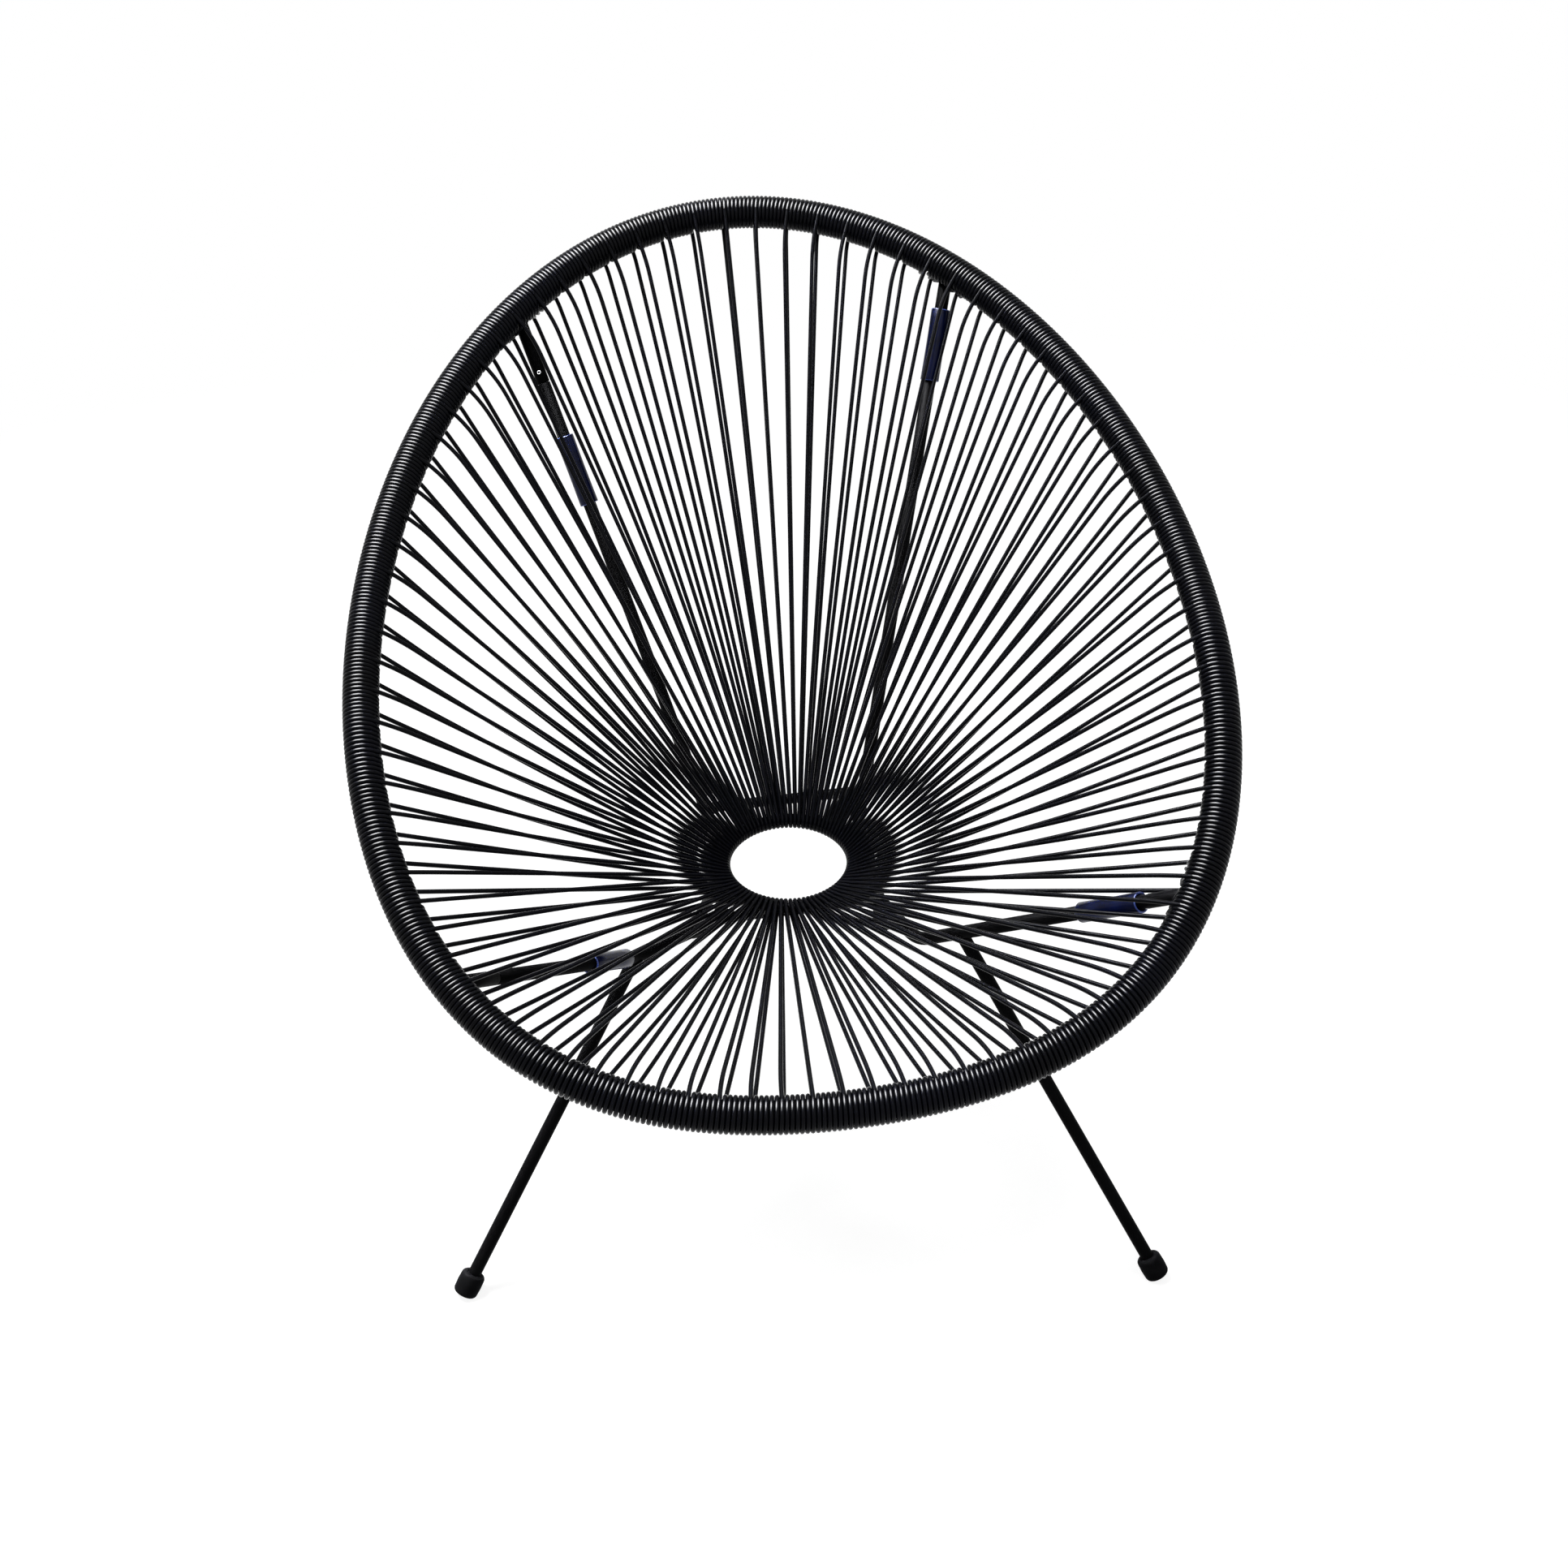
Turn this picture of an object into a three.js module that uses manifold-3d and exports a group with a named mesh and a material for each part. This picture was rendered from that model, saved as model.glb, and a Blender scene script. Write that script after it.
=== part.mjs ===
// Acapulco chair: an egg-shaped steel hoop strung with plastic cord round a small hub ring,
// carried by a rod base with four rubber-capped feet.
// Millimetres, +Z up, the sitter faces -Y, the origin is on the floor under the middle of the part.
import * as THREE from 'three';
import { mergeVertices } from 'three/addons/utils/BufferGeometryUtils.js';
import Module from 'manifold-3d';

const wasm = await Module();
wasm.setup();

const degree = Math.PI / 180;
const fullTurn = 2 * Math.PI;
const quarterTurn = Math.PI / 2;

// Hoop: an egg in one sloping plane, narrow end up, bowed a little out of its plane
const hoopHalfLength = 440;
const hoopHalfWidth = 340;
const hoopTaper = 37;
const hoopDrop = 84;
const hoopBow = 13;
const hoopSlope = 32.7 * degree;
const hoopCentreHeight = 560;
const hoopTubeRadius = 11;
const hoopSides = 8;
const hoopSamples = 720;

// The basket is bolted on turned a little in its own plane, as photographed
const basketTurn = 4.7 * degree;

// Hub ring that the cords loop round, under the sitter
const hubRadius = 61.8;
const hubRodRadius = 5;
const hubDrop = 226;
const hubHeight = hoopCentreHeight - hubDrop;
const hubSlope = 8.2 * degree;
const hubSides = 8;
const hubSteps = 28;

// Plastic cord: loops round the hub ring and the hoop, and the winding that covers the hoop
const cordRadius = 1.65;
const cordSides = 5;
const cordLoops = 90;
const webCount = 15;
const hoopWrapSteps = 4;
const hubWrapSteps = 3;
const windingThickness = 1.5;
const clearance = 0.3;

// The loops stand further apart at the top of the hoop than at the bottom, and at the sides
const topSpreadShare = 0.121;
const sideSpreadShare = 0.0385;

// Upper stubs are welded to the hoop's back, lower ones run into its middle
const upperStubSetback = 11;
const lowerStubSetback = 0;

// Rods of the base
const rodRadius = 6;
const rodSides = 10;
const bendRadius = 40;
const bendSteps = 4;
const stubLength = 62;
const pinRadius = 4;
const pinLength = 20;
const screwRadius = 2;
const overrun = 1;
const smallSides = 8;
const copeSides = 24;

// The cradle rods run under the seat at one height, this far below the hub ring
const keelDrop = 49;
const keelHeight = hubHeight - keelDrop;

// Places in plan are shares of the hoop's half width and half length, as the hub's middle is
const hubShares = { side: -0.0103, back: 0.1932 };

// Stubs stand between two loops, at shares of all the loops from the hoop's top. Then come the
// corners of the cradle rod, of which the strut's foot and the keel's front turn with the
// basket, the feet, and where a leg and the sleeves stand on their rods, as shares of the
// straight run that is free for them
const sides = {
  left: {
    upperStubShare: 0.9167,
    lowerStubShare: 0.6492,
    strutFootShares: { side: -0.1882, back: 0.4136 },
    keelFrontShares: { side: -0.2176, back: 0.1818 },
    cornerShares: { side: -0.4206, back: 0.0318 },
    frontFootShares: { side: -0.9088, back: -0.2364 },
    rearFootShares: { side: -0.3235, back: 1.0182 },
    legShare: 0.0067,
    upperSleeveShare: 0.2502,
    lowerSleeveShare: 0.999,
  },
  right: {
    upperStubShare: 0.0833,
    lowerStubShare: 0.3483,
    strutFootShares: { side: 0.1882, back: 0.4136 },
    keelFrontShares: { side: 0.2176, back: 0.1818 },
    cornerShares: { side: 0.3235, back: 0.0545 },
    frontFootShares: { side: 0.9294, back: -0.2636 },
    rearFootShares: { side: 0.3235, back: 1.0182 },
    legShare: 0.1764,
    upperSleeveShare: 0.0658,
    lowerSleeveShare: 0.2388,
  },
};
const rearCrossBarRise = 52;
const crossBarRadius = 5;

// Rubber caps on the feet
const capRadius = 11.5;
const capLength = 22;
const capChamfer = 4;
const capSocketDepth = 16;
const capFloorCut = 2.5;
const capSides = 20;

// Plastic sleeves that slide along the rods over the bolted joints
const sleeveRadius = 8.8;
const sleeveBore = 6.7;
const sleeveLength = 66;
const sleeveRoom = 20;
const sleeveSides = 16;

const cordBlack = new THREE.MeshStandardMaterial({ color: 0x0b0c12, roughness: 0.22, metalness: 0 });
const coatedSteel = new THREE.MeshStandardMaterial({ color: 0x0c0c0d, roughness: 0.5, metalness: 0.3 });
const screwSteel = new THREE.MeshStandardMaterial({ color: 0x8d9094, roughness: 0.35, metalness: 1 });
const sleevePlastic = new THREE.MeshStandardMaterial({ color: 0x070a1c, roughness: 0.18, metalness: 0 });
const footRubber = new THREE.MeshStandardMaterial({ color: 0x101011, roughness: 0.8, metalness: 0 });

const chair = new THREE.Group();

// Directions of the hoop's plane: up its slope, and out of it towards the sitter
const upSlope = new THREE.Vector3(0, Math.cos(hoopSlope), Math.sin(hoopSlope));
const outOfPlane = new THREE.Vector3(0, -Math.sin(hoopSlope), Math.cos(hoopSlope));
const sideways = new THREE.Vector3(1, 0, 0);
const hoopCentre = new THREE.Vector3(0, 0, hoopCentreHeight);

function turned(point) {
  return point.clone().sub(hoopCentre).applyAxisAngle(outOfPlane, basketTurn).add(hoopCentre);
}

function along(from, direction, distance) {
  return from.clone().addScaledVector(direction, distance);
}

function placeOf(shares, height) {
  return new THREE.Vector3(hoopHalfWidth * shares.side, hoopHalfLength * shares.back, height);
}

function towards(from, to) {
  return to.clone().sub(from).normalize();
}

function addMesh(name, geometry, material, place, axis) {
  const mesh = new THREE.Mesh(geometry, material);
  mesh.name = name;
  if (place) mesh.position.copy(place);
  if (axis) mesh.quaternion.setFromUnitVectors(new THREE.Vector3(0, 1, 0), axis);
  chair.add(mesh);
  return mesh;
}

// Rings of points become one closed skin: rings in order, joined side to side
function skin(rings, faces) {
  const geometry = new THREE.BufferGeometry();
  const positions = rings.flat().flatMap((point) => [point.x, point.y, point.z]);
  geometry.setAttribute('position', new THREE.Float32BufferAttribute(positions, 3));
  geometry.setIndex(faces);
  return geometry;
}

function band(faces, first, second, sides) {
  for (let side = 0; side < sides; side += 1) {
    const next = (side + 1) % sides;
    faces.push(first + side, first + next, second + next);
    faces.push(first + side, second + next, second + side);
  }
}

function lid(faces, first, sides, facingForward) {
  for (let side = 1; side < sides - 1; side += 1) {
    if (facingForward) faces.push(first, first + side, first + side + 1);
    else faces.push(first, first + side + 1, first + side);
  }
}

function ringAbout(centre, across, up, radius, sides) {
  return Array.from({ length: sides }, (_, side) => {
    const angle = ((side + 0.5) / sides) * fullTurn;
    return along(along(centre, across, radius * Math.cos(angle)), up, radius * Math.sin(angle));
  });
}

// A rod or cord along straight runs, mitred at each corner
function rodAlong(points, radius, sides) {
  const start = towards(points[0], points[1]);
  const guide = Math.abs(start.z) < Math.SQRT1_2 ? new THREE.Vector3(0, 0, 1) : sideways;
  const across = guide.clone().cross(start).normalize();
  const up = start.clone().cross(across);
  const rings = [ringAbout(points[0], across, up, radius, sides)];
  const faces = [];
  lid(faces, 0, sides, false);
  for (let index = 1; index < points.length; index += 1) {
    const run = towards(points[index - 1], points[index]);
    const next = index + 1 < points.length ? towards(points[index], points[index + 1]) : run;
    const mitre = run.clone().add(next).normalize();
    rings.push(rings[index - 1].map((corner) => {
      const reach = points[index].clone().sub(corner).dot(mitre) / run.dot(mitre);
      return along(corner, run, reach);
    }));
    band(faces, (index - 1) * sides, index * sides, sides);
  }
  lid(faces, (points.length - 1) * sides, sides, true);
  return skin(rings, faces);
}

// Rounds the corners of a route with arcs of one radius
function rounded(points, radius, steps) {
  const route = [points[0]];
  for (let index = 1; index < points.length - 1; index += 1) {
    const back = towards(points[index], points[index - 1]);
    const on = towards(points[index], points[index + 1]);
    const half = back.angleTo(on) / 2;
    const middle = back.clone().add(on).normalize();
    const centre = along(points[index], middle, radius / Math.sin(half));
    const from = along(points[index], back, radius / Math.tan(half)).sub(centre);
    const axis = from.clone().cross(on).normalize();
    for (let step = 0; step <= steps; step += 1) {
      const angle = (Math.PI - 2 * half) * (step / steps);
      route.push(from.clone().applyAxisAngle(axis, angle).add(centre));
    }
  }
  route.push(points[points.length - 1]);
  return route;
}

function solidOf(geometry) {
  const bare = geometry.clone();
  bare.deleteAttribute('normal');
  bare.deleteAttribute('uv');
  const merged = mergeVertices(bare);
  return new wasm.Manifold(new wasm.Mesh({
    numProp: 3,
    vertProperties: new Float32Array(merged.attributes.position.array),
    triVerts: new Uint32Array(merged.index.array),
  }));
}

function geometryOf(solid) {
  const mesh = solid.getMesh();
  const geometry = new THREE.BufferGeometry();
  geometry.setAttribute('position', new THREE.BufferAttribute(mesh.vertProperties, mesh.numProp));
  geometry.setIndex(new THREE.BufferAttribute(mesh.triVerts, 1));
  return geometry;
}

function placed(geometry, place, axis) {
  const turn = new THREE.Quaternion().setFromUnitVectors(new THREE.Vector3(0, 1, 0), axis);
  return geometry.applyMatrix4(new THREE.Matrix4().compose(place, turn, new THREE.Vector3(1, 1, 1)));
}

// A plain round bar whose ends are at two points
function bar(from, to, radius, sides) {
  const geometry = new THREE.CylinderGeometry(radius, radius, from.distanceTo(to), sides);
  return placed(geometry, from.clone().lerp(to, 0.5), towards(from, to));
}

// The hoop's curve, sampled once so that places on it can be given by length along it
function hoopPoint(angle) {
  const slope = hoopHalfLength * Math.cos(angle) + hoopDrop * Math.cos(2 * angle);
  const side = hoopHalfWidth * Math.sin(angle) + hoopTaper * Math.sin(2 * angle);
  const bow = -hoopBow * Math.cos(2 * angle);
  const point = along(along(hoopCentre, upSlope, slope), outOfPlane, bow);
  return turned(point.addScaledVector(sideways, side));
}

const hoopTable = [{ angle: 0, length: 0 }];
for (let index = 1; index <= hoopSamples; index += 1) {
  const last = hoopTable[index - 1];
  const angle = (index / hoopSamples) * fullTurn;
  hoopTable.push({ angle, length: last.length + hoopPoint(angle).distanceTo(hoopPoint(last.angle)) });
}
const hoopLength = hoopTable[hoopSamples].length;
const loopsPerWeb = cordLoops / webCount;

// How far along the hoop a loop stands, from the top
function loopPlace(loop) {
  const turn = (loop / cordLoops) * fullTurn;
  const spread = topSpreadShare * Math.sin(turn) - (sideSpreadShare / 2) * Math.sin(2 * turn);
  return hoopLength * ((turn + spread) / fullTurn);
}

// Radii that nest outside each other: hoop, winding and cord, then hub ring and cord
const windingBore = hoopTubeRadius + clearance / Math.cos(Math.PI / hoopSides);
const windingRadius = windingBore + windingThickness;
const hoopWrapRadius = (windingRadius + clearance + cordRadius) / Math.cos(quarterTurn / hoopWrapSteps);
const hubWrapRadius = (hubRodRadius + clearance + cordRadius) / Math.cos(quarterTurn / hubWrapSteps);

function hoopAngleAt(length) {
  const wrapped = ((length % hoopLength) + hoopLength) % hoopLength;
  const above = hoopTable.findIndex((entry) => entry.length > wrapped);
  const low = hoopTable[above - 1];
  const high = hoopTable[above];
  const share = (wrapped - low.length) / (high.length - low.length);
  return low.angle + share * (high.angle - low.angle);
}

// A place on the hoop: its centre, its run, and the directions out of and in front of the ring
function hoopFrame(length) {
  const step = fullTurn / hoopSamples;
  const angle = hoopAngleAt(length);
  const centre = hoopPoint(angle);
  const run = towards(hoopPoint(angle - step), hoopPoint(angle + step));
  const outward = run.clone().cross(outOfPlane).normalize().negate();
  const front = outward.clone().cross(run).negate().normalize();
  return { centre, run, outward, front };
}

const hubCentre = placeOf(hubShares, hubHeight);
const hubAway = new THREE.Vector3(0, Math.cos(hubSlope), Math.sin(hubSlope));
const hubUp = new THREE.Vector3(0, -Math.sin(hubSlope), Math.cos(hubSlope));

function hubFrame(turnAngle) {
  const outward = sideways.clone().multiplyScalar(Math.sin(turnAngle));
  outward.addScaledVector(hubAway, Math.cos(turnAngle));
  return { centre: along(hubCentre, outward, hubRadius), outward };
}

function aroundHoop(frame, radius, angle) {
  const point = along(frame.centre, frame.outward, radius * Math.cos(angle));
  return point.addScaledVector(frame.front, radius * Math.sin(angle));
}

function makeHoop() {
  const rings = Array.from({ length: cordLoops }, (_, loop) => {
    const frame = hoopFrame(loopPlace(loop));
    return ringAbout(frame.centre, frame.outward, frame.front, hoopTubeRadius, hoopSides);
  });
  const faces = [];
  rings.forEach((_, index) => {
    band(faces, index * hoopSides, ((index + 1) % cordLoops) * hoopSides, hoopSides);
  });
  addMesh('outer_hoop', skin(rings, faces), coatedSteel);
}

// One stretch of the winding: a sleeve of turns with the hoop in its bore
function windingSolid(firstLoop, lastLoop) {
  const stops = [];
  for (let loop = firstLoop; loop <= lastLoop; loop += 1) stops.push(loopPlace(loop));
  stops[0] += clearance / 2;
  stops[stops.length - 1] -= clearance / 2;
  const outer = [];
  const inner = [];
  stops.forEach((stop) => {
    const frame = hoopFrame(stop);
    outer.push(ringAbout(frame.centre, frame.outward, frame.front, windingRadius, hoopSides));
    inner.push(ringAbout(frame.centre, frame.outward, frame.front, windingBore, hoopSides));
  });
  const faces = [];
  const innerStart = outer.length * hoopSides;
  for (let index = 0; index + 1 < outer.length; index += 1) {
    band(faces, index * hoopSides, (index + 1) * hoopSides, hoopSides);
    band(faces, innerStart + (index + 1) * hoopSides, innerStart + index * hoopSides, hoopSides);
  }
  const last = (outer.length - 1) * hoopSides;
  band(faces, innerStart, 0, hoopSides);
  band(faces, last, innerStart + last, hoopSides);
  return solidOf(skin([...outer, ...inner], faces));
}

// The stretches meet halfway between the ends of the cord webs, and leave room for the stubs
function makeWindings(stubRooms) {
  for (let index = 0; index < webCount; index += 1) {
    const firstLoop = (index + 1 / 2) * loopsPerWeb;
    let winding = windingSolid(firstLoop, firstLoop + loopsPerWeb);
    stubRooms.forEach((room) => {
      winding = winding.subtract(room);
    });
    addMesh(`hoop_winding_${index + 1}`, geometryOf(winding), cordBlack);
  }
}

function makeHubRing() {
  const rings = Array.from({ length: hubSteps }, (_, step) => {
    const frame = hubFrame((step / hubSteps) * fullTurn);
    return ringAbout(frame.centre, frame.outward, hubUp, hubRodRadius, hubSides);
  });
  const faces = [];
  rings.forEach((_, index) => {
    band(faces, index * hubSides, ((index + 1) % hubSteps) * hubSides, hubSides);
  });
  addMesh('hub_ring', skin(rings, faces), coatedSteel);
}

// How steeply a cord leaves the hoop behind its plane, and how steeply it rises from the hub
function cordLean(frame, hub) {
  const run = towards(frame.centre, hub.centre);
  return Math.atan2(-run.dot(frame.front), -run.dot(frame.outward));
}

function cordRise(frame, hub) {
  const run = towards(hub.centre, frame.centre);
  return Math.atan2(run.dot(hubUp), run.dot(hub.outward));
}

function hoopWrap(loop) {
  const frame = hoopFrame(loopPlace(loop));
  const lean = cordLean(frame, hubFrame((loop / cordLoops) * fullTurn));
  return Array.from({ length: hoopWrapSteps + 1 }, (_, step) => {
    const angle = lean - quarterTurn + (step / hoopWrapSteps) * Math.PI;
    return aroundHoop(frame, hoopWrapRadius, angle);
  });
}

function hubWrap(loop) {
  const hub = hubFrame((loop / cordLoops) * fullTurn);
  const rise = cordRise(hoopFrame(loopPlace(loop)), hub);
  return Array.from({ length: hubWrapSteps + 1 }, (_, step) => {
    const angle = rise + quarterTurn + (step / hubWrapSteps) * Math.PI;
    const point = along(hub.centre, hub.outward, hubWrapRadius * Math.cos(angle));
    return point.addScaledVector(hubUp, hubWrapRadius * Math.sin(angle));
  });
}

// One length of cord: over the hoop, down to the hub, round it, back under to the next loop
function webRoute(firstLoop) {
  const route = [];
  const straightEnd = 2 * cordRadius;
  for (let loop = firstLoop; loop < firstLoop + loopsPerWeb; loop += 1) {
    route.push(...hoopWrap(loop), ...hubWrap(loop + 0.5));
  }
  const hubBefore = hubWrap(firstLoop - 0.5).pop();
  route.unshift(along(route[0], towards(route[0], hubBefore), straightEnd));
  const last = hoopWrap(firstLoop + loopsPerWeb)[0];
  route.push(along(last, towards(last, route[route.length - 1]), straightEnd + clearance));
  return route;
}

// Least gap between cords that lie side by side, measured where the loops crowd on the hub
function leastCordGap() {
  const wraps = Array.from({ length: cordLoops }, (_, loop) => hubWrap(loop + 0.5));
  const gaps = wraps.map((wrap, index) => {
    const next = wraps[(index + 1) % cordLoops];
    return Math.min(...wrap.map((point, step) => point.distanceTo(next[step])));
  });
  return Math.min(...gaps) - 2 * cordRadius;
}

function makeWebs() {
  for (let web = 0; web < webCount; web += 1) {
    const route = webRoute(web * loopsPerWeb);
    addMesh(`cord_web_${web + 1}`, rodAlong(route, cordRadius, cordSides), cordBlack);
  }
  console.log(`least gap between neighbouring cord loops: ${leastCordGap().toFixed(2)} mm`);
}

// Where a stub is welded to the hoop, and the room that the hoop takes from it
function weldOn(loop, setback) {
  const before = hoopFrame(loopPlace(Math.floor(loop))).centre;
  const after = hoopFrame(loopPlace(Math.ceil(loop))).centre;
  const tube = bar(before, after, hoopTubeRadius + clearance, copeSides);
  const { front } = hoopFrame(loopPlace(loop));
  const place = before.clone().lerp(after, loop - Math.floor(loop));
  return { place: along(place, front, -setback), tube: solidOf(tube) };
}

function crossHole(centre, axis) {
  const across = axis.clone().cross(sideways).normalize();
  const reach = rodRadius + overrun;
  return solidOf(bar(along(centre, across, -reach), along(centre, across, reach),
    screwRadius + clearance, smallSides));
}

// Stub on the hoop, the plastic sleeve on its rod and the cross screw of the joint
function makeJoint(name, weld, axis, run, sleeveShare) {
  const profile = [
    [0, 0],
    [rodRadius, 0],
    [rodRadius, stubLength],
    [pinRadius + clearance, stubLength],
    [pinRadius + clearance, stubLength - pinLength - clearance],
    [0, stubLength - pinLength - clearance],
  ].map(([radius, height]) => new THREE.Vector2(radius, height));
  const blank = placed(new THREE.LatheGeometry(profile, rodSides), weld.place, axis);
  const screwPlace = along(weld.place, axis, stubLength - pinLength / 2);
  const stub = solidOf(blank).subtract(weld.tube).subtract(crossHole(screwPlace, axis));
  addMesh(`hoop_stub_${name}`, geometryOf(stub), coatedSteel);

  const across = axis.clone().cross(sideways).normalize();
  const screw = bar(along(screwPlace, across, -rodRadius), along(screwPlace, across, rodRadius),
    screwRadius, smallSides);
  addMesh(`joint_screw_${name}`, screw, screwSteel);

  const wall = [
    [sleeveBore, 0],
    [sleeveRadius, 0],
    [sleeveRadius, sleeveLength],
    [sleeveBore, sleeveLength],
    [sleeveBore, 0],
  ].map(([radius, height]) => new THREE.Vector2(radius, height));
  const sleevePlace = sleeveShare * (run - sleeveLength - sleeveRoom);
  addMesh(`joint_sleeve_${name}`, new THREE.LatheGeometry(wall, sleeveSides), sleevePlastic,
    along(weld.place, axis, sleevePlace), axis);
  return solidOf(bar(weld.place, along(weld.place, axis, stubLength), rodRadius + clearance, rodSides));
}

function capOn(name, centre, axis) {
  const profile = [
    [0, 0],
    [capRadius - capChamfer, 0],
    [capRadius, capChamfer],
    [capRadius, capLength - capChamfer],
    [capRadius - capChamfer, capLength],
    [rodRadius + clearance, capLength],
    [rodRadius + clearance, capLength - capSocketDepth],
    [0, capLength - capSocketDepth],
  ].map(([radius, height]) => new THREE.Vector2(radius, height));
  const blank = placed(new THREE.LatheGeometry(profile, capSides), along(centre, axis, -capLength / 2), axis);
  const room = 2 * capLength;
  const floor = new THREE.BoxGeometry(room, room, room);
  floor.translate(centre.x, centre.y, -room / 2);
  addMesh(name, geometryOf(solidOf(blank).subtract(solidOf(floor))), footRubber);
}

// A leg from a rod above to a cap on the floor, coped to fit the rod
function makeLeg(name, top, foot, around) {
  const run = Math.hypot(foot.x - top.x, foot.y - top.y);
  const lean = Math.atan2(run, top.z);
  const rim = (capLength / 2) * Math.cos(lean) + (capRadius - capChamfer) * Math.sin(lean);
  const centre = foot.clone().setZ(rim - capFloorCut);
  const axis = towards(centre, top);
  const footEnd = along(centre, axis, capLength / 2 - capSocketDepth + clearance);
  const leg = solidOf(bar(footEnd, top, rodRadius, rodSides)).subtract(around);
  addMesh(`${name}_leg`, geometryOf(leg), coatedSteel);
  capOn(`${name}_foot_cap`, centre, axis);
}

function makeSide(name, side) {
  const foot = turned(placeOf(side.strutFootShares, keelHeight));
  const keel = turned(placeOf(side.keelFrontShares, keelHeight));
  const corner = placeOf(side.cornerShares, keelHeight);
  const upperWeld = weldOn(side.upperStubShare * cordLoops, upperStubSetback);
  const lowerWeld = weldOn(side.lowerStubShare * cordLoops, lowerStubSetback);
  const upperAxis = towards(upperWeld.place, foot);
  const lowerAxis = towards(lowerWeld.place, corner);
  const upperRun = upperWeld.place.distanceTo(foot);
  const lowerRun = lowerWeld.place.distanceTo(corner);
  const rooms = [
    makeJoint(`upper_${name}`, upperWeld, upperAxis, upperRun, side.upperSleeveShare),
    makeJoint(`lower_${name}`, lowerWeld, lowerAxis, lowerRun, side.lowerSleeveShare),
  ];

  const first = along(upperWeld.place, upperAxis, stubLength + clearance);
  const last = along(lowerWeld.place, lowerAxis, stubLength + clearance);
  const route = rounded([first, foot, keel, corner, last], bendRadius, bendSteps);
  const around = solidOf(rodAlong(route, rodRadius + clearance, rodSides));
  let cradle = solidOf(rodAlong(route, rodRadius, rodSides));
  [[first, upperAxis], [last, lowerAxis]].forEach(([end, axis]) => {
    const pin = bar(along(end, axis, overrun), along(end, axis, -pinLength), pinRadius, smallSides);
    const screwPlace = along(end, axis, -clearance - pinLength / 2);
    cradle = cradle.add(solidOf(pin)).subtract(crossHole(screwPlace, axis));
  });
  addMesh(`cradle_rod_${name}`, geometryOf(cradle), coatedSteel);

  const footBend = route[1 + bendSteps];
  const legTop = along(corner, lowerAxis, -side.legShare * lowerRun);
  const frontFoot = placeOf(side.frontFootShares, 0);
  const rearFoot = placeOf(side.rearFootShares, 0);
  makeLeg(`front_${name}`, legTop, frontFoot, around);
  makeLeg(`rear_${name}`, footBend, rearFoot, around);
  return { around, keel, rooms, strut: along(foot, upperAxis, -rearCrossBarRise) };
}

function makeCrossBar(name, from, to, around) {
  let barSolid = solidOf(bar(from, to, crossBarRadius, rodSides));
  around.forEach((solid) => {
    barSolid = barSolid.subtract(solid);
  });
  addMesh(name, geometryOf(barSolid), coatedSteel);
}

makeHoop();
makeHubRing();
makeWebs();
const left = makeSide('left', sides.left);
const right = makeSide('right', sides.right);
makeWindings([...left.rooms, ...right.rooms]);
makeCrossBar('rear_cross_bar', left.strut, right.strut, [left.around, right.around]);
makeCrossBar('front_cross_bar', left.keel, right.keel, [left.around, right.around]);

// The floor is at zero already, so only the middle of the part is brought to the origin
const whole = new THREE.Box3().setFromObject(chair, true);
const middle = whole.getCenter(new THREE.Vector3());
chair.position.set(-middle.x, -middle.y, 0);

export default chair;
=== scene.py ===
import math
import random

import bpy
from mathutils import Matrix, Vector


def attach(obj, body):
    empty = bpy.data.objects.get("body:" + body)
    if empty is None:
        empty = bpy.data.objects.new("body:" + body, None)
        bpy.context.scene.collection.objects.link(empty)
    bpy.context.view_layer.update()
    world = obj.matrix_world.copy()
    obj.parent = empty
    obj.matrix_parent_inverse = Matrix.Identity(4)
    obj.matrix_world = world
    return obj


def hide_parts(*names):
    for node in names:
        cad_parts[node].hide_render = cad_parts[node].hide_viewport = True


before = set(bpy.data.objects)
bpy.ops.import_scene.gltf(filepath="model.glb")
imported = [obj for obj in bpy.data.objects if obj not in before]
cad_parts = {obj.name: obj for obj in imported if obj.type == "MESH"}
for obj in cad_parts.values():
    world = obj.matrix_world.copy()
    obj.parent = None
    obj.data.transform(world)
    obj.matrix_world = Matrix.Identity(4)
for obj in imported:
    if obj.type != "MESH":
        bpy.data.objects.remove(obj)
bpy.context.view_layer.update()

# Acapulco chair. Metres, +Z up, the sitter faces -Y. The sizes are those of the chair's solids, and only
# the cord is a little thicker here.
MM = 0.001
FULL_TURN = 2 * math.pi
QUARTER = math.pi / 2

HOOP_HALF_LENGTH = 440 * MM
HOOP_HALF_WIDTH = 340 * MM
HOOP_TAPER = 37 * MM
HOOP_DROP = 84 * MM
HOOP_BOW = 13 * MM
HOOP_SLOPE = math.radians(32.7)
HOOP_CENTRE = Vector((0, 0, 560 * MM))
HOOP_TUBE = 11 * MM
HOOP_SAMPLES = 1440
HOOP_SIDES = 16
BASKET_TURN = math.radians(4.7)

# Moves the chair so that the box round it stands on the middle of the floor
MIDDLE = Vector((0.933 * MM, -76.121 * MM, 0))

HUB_RADIUS = 61.8 * MM
HUB_ROD = 5 * MM
HUB_SIDES = 16
HUB_SLOPE = math.radians(8.2)
HUB_SHARES = (-0.0103, 0.1932)
HUB_HEIGHT = 334 * MM
HUB_CENTRE = Vector((HUB_SHARES[0] * HOOP_HALF_WIDTH, HUB_SHARES[1] * HOOP_HALF_LENGTH, HUB_HEIGHT))

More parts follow.
